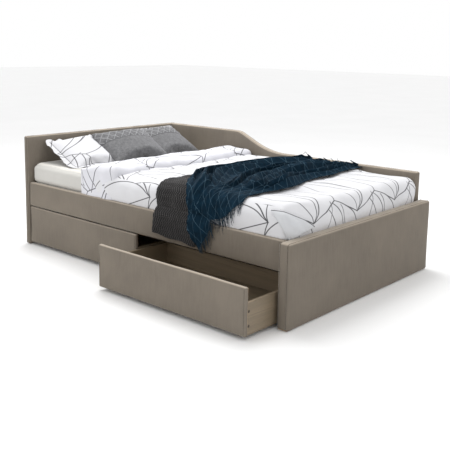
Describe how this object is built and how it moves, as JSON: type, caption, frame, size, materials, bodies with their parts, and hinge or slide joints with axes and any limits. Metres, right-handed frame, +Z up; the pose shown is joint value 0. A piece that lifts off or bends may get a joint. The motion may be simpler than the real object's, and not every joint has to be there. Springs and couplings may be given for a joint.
{
  "type": "trundle bed",
  "caption": "Upholstered bed with a curved raised back panel, slatted base, mattress and bedding, and roll-out castor drawers under the side rail.",
  "frame": {"origin": "on the floor under the middle of the mattress, at the foot of the middle centre leg's glide", "axes": "+X from headboard to footboard, +Y from the open side with the drawers to the back panel, +Z up"},
  "size_m": [2.128, 1.58, 0.7009],
  "materials": {
    "velvet": "taupe velvet upholstery, short pile",
    "chipboard": "raw chipboard",
    "pine": "planed pine, unfinished",
    "hardboard": "smooth hardboard",
    "slat_wood": "planed pine slats",
    "zinc_steel": "zinc plated",
    "fastener_steel": "plated steel",
    "fixing_brown": "dark brown fixing heads",
    "leg_metal": "black powder coat",
    "black_plastic": "moulded, matt",
    "wheel_plastic": "moulded, satin",
    "webbing": "woven polyester webbing",
    "mattress_fabric": "knitted ticking",
    "sheet_cotton": "cream cotton sheet",
    "print_cotton": "white cotton with thin black lines",
    "grey_quilting": "grey quilted velvet",
    "charcoal_knit": "chunky knit",
    "teal_plaid": "brushed wool with thin pale checks",
    "drawer_oak": "light oak foil"
  },
  "bodies": {
    "bed_frame": {"headboard_cover": "velvet", "footboard_cover": "velvet", "back_panel_cover": "velvet", "side_rail_cover": "velvet", "headboard_board": "chipboard", "back_panel_board": "chipboard", "side_rail_board": "chipboard", "footboard_frame": "pine", "slat_ledges": "pine", "centre_beam": "pine", "drawer_stop_rail": "pine", "footboard_skins": "hardboard", "slats": "slat_wood", "corner_brackets": "zinc_steel", "beam_hangers": "zinc_steel", "bracket_bolts": "fastener_steel", "frame_screws": "fastener_steel", "centre_legs": "leg_metal", "floor_glides": "black_plastic", "slat_holders": "black_plastic", "slat_straps": "webbing", "mattress": "mattress_fabric", "fitted_sheet": "sheet_cotton", "duvet": "print_cotton", "duvet_fold": "print_cotton", "white_pillow_front": "print_cotton", "white_pillow_back": "print_cotton", "grey_pillow_left": "grey_quilting", "grey_pillow_right": "grey_quilting", "knitted_throw": "charcoal_knit", "plaid_blanket": "teal_plaid"},
    "head_drawer": {"head_drawer_front_board": "chipboard", "head_drawer_front_cover": "velvet", "head_drawer_side_left": "drawer_oak", "head_drawer_side_right": "drawer_oak", "head_drawer_back": "drawer_oak", "head_drawer_bottom": "drawer_oak", "head_drawer_battens": "pine", "head_drawer_fixings": "fixing_brown", "head_drawer_castor_brackets": "zinc_steel", "head_drawer_castor_axles": "fastener_steel"},
    "head_drawer_wheel_front_left": {"head_drawer_wheel_front_left": "wheel_plastic"},
    "head_drawer_wheel_front_right": {"head_drawer_wheel_front_right": "wheel_plastic"},
    "head_drawer_wheel_back_left": {"head_drawer_wheel_back_left": "wheel_plastic"},
    "head_drawer_wheel_back_right": {"head_drawer_wheel_back_right": "wheel_plastic"},
    "foot_drawer": {"foot_drawer_front_board": "chipboard", "foot_drawer_front_cover": "velvet", "foot_drawer_side_left": "drawer_oak", "foot_drawer_side_right": "drawer_oak", "foot_drawer_back": "drawer_oak", "foot_drawer_bottom": "drawer_oak", "foot_drawer_battens": "pine", "foot_drawer_fixings": "fixing_brown", "foot_drawer_castor_brackets": "zinc_steel", "foot_drawer_castor_axles": "fastener_steel"},
    "foot_drawer_wheel_front_left": {"foot_drawer_wheel_front_left": "wheel_plastic"},
    "foot_drawer_wheel_front_right": {"foot_drawer_wheel_front_right": "wheel_plastic"},
    "foot_drawer_wheel_back_left": {"foot_drawer_wheel_back_left": "wheel_plastic"},
    "foot_drawer_wheel_back_right": {"foot_drawer_wheel_back_right": "wheel_plastic"}
  },
  "joints": [
    {"name": "head_drawer_slide", "type": "slide", "parent": "bed_frame", "child": "head_drawer", "axis": [0, -1, 0], "range_m": [0, 0.5]},
    {"name": "head_wheel_front_left_spin", "type": "hinge", "parent": "head_drawer", "child": "head_drawer_wheel_front_left", "pos_m": [-0.956, -0.561, 0.02], "axis": [1, 0, 0], "range_deg": [-1, 1434]},
    {"name": "head_wheel_front_right_spin", "type": "hinge", "parent": "head_drawer", "child": "head_drawer_wheel_front_right", "pos_m": [-0.053, -0.561, 0.02], "axis": [1, 0, 0], "range_deg": [-1, 1434]},
    {"name": "head_wheel_back_left_spin", "type": "hinge", "parent": "head_drawer", "child": "head_drawer_wheel_back_left", "pos_m": [-0.956, -0.23, 0.02], "axis": [1, 0, 0], "range_deg": [-1, 1434]},
    {"name": "head_wheel_back_right_spin", "type": "hinge", "parent": "head_drawer", "child": "head_drawer_wheel_back_right", "pos_m": [-0.053, -0.23, 0.02], "axis": [1, 0, 0], "range_deg": [-1, 1434]},
    {"name": "foot_drawer_slide", "type": "slide", "parent": "bed_frame", "child": "foot_drawer", "axis": [0, -1, 0], "range_m": [-0.265, 0.235]},
    {"name": "foot_wheel_front_left_spin", "type": "hinge", "parent": "foot_drawer", "child": "foot_drawer_wheel_front_left", "pos_m": [0.053, -0.826, 0.02], "axis": [1, 0, 0], "range_deg": [-761, 675]},
    {"name": "foot_wheel_front_right_spin", "type": "hinge", "parent": "foot_drawer", "child": "foot_drawer_wheel_front_right", "pos_m": [0.956, -0.826, 0.02], "axis": [1, 0, 0], "range_deg": [-761, 675]},
    {"name": "foot_wheel_back_left_spin", "type": "hinge", "parent": "foot_drawer", "child": "foot_drawer_wheel_back_left", "pos_m": [0.053, -0.495, 0.02], "axis": [1, 0, 0], "range_deg": [-761, 675]},
    {"name": "foot_wheel_back_right_spin", "type": "hinge", "parent": "foot_drawer", "child": "foot_drawer_wheel_back_right", "pos_m": [0.956, -0.495, 0.02], "axis": [1, 0, 0], "range_deg": [-761, 675]}
  ],
  "couplings": [
    {"joint": "head_wheel_front_left_spin", "follows": "head_drawer_slide", "rad_per_m": 50},
    {"joint": "head_wheel_front_right_spin", "follows": "head_drawer_slide", "rad_per_m": 50},
    {"joint": "head_wheel_back_left_spin", "follows": "head_drawer_slide", "rad_per_m": 50},
    {"joint": "head_wheel_back_right_spin", "follows": "head_drawer_slide", "rad_per_m": 50},
    {"joint": "foot_wheel_front_left_spin", "follows": "foot_drawer_slide", "rad_per_m": 50},
    {"joint": "foot_wheel_front_right_spin", "follows": "foot_drawer_slide", "rad_per_m": 50},
    {"joint": "foot_wheel_back_left_spin", "follows": "foot_drawer_slide", "rad_per_m": 50},
    {"joint": "foot_wheel_back_right_spin", "follows": "foot_drawer_slide", "rad_per_m": 50}
  ]
}
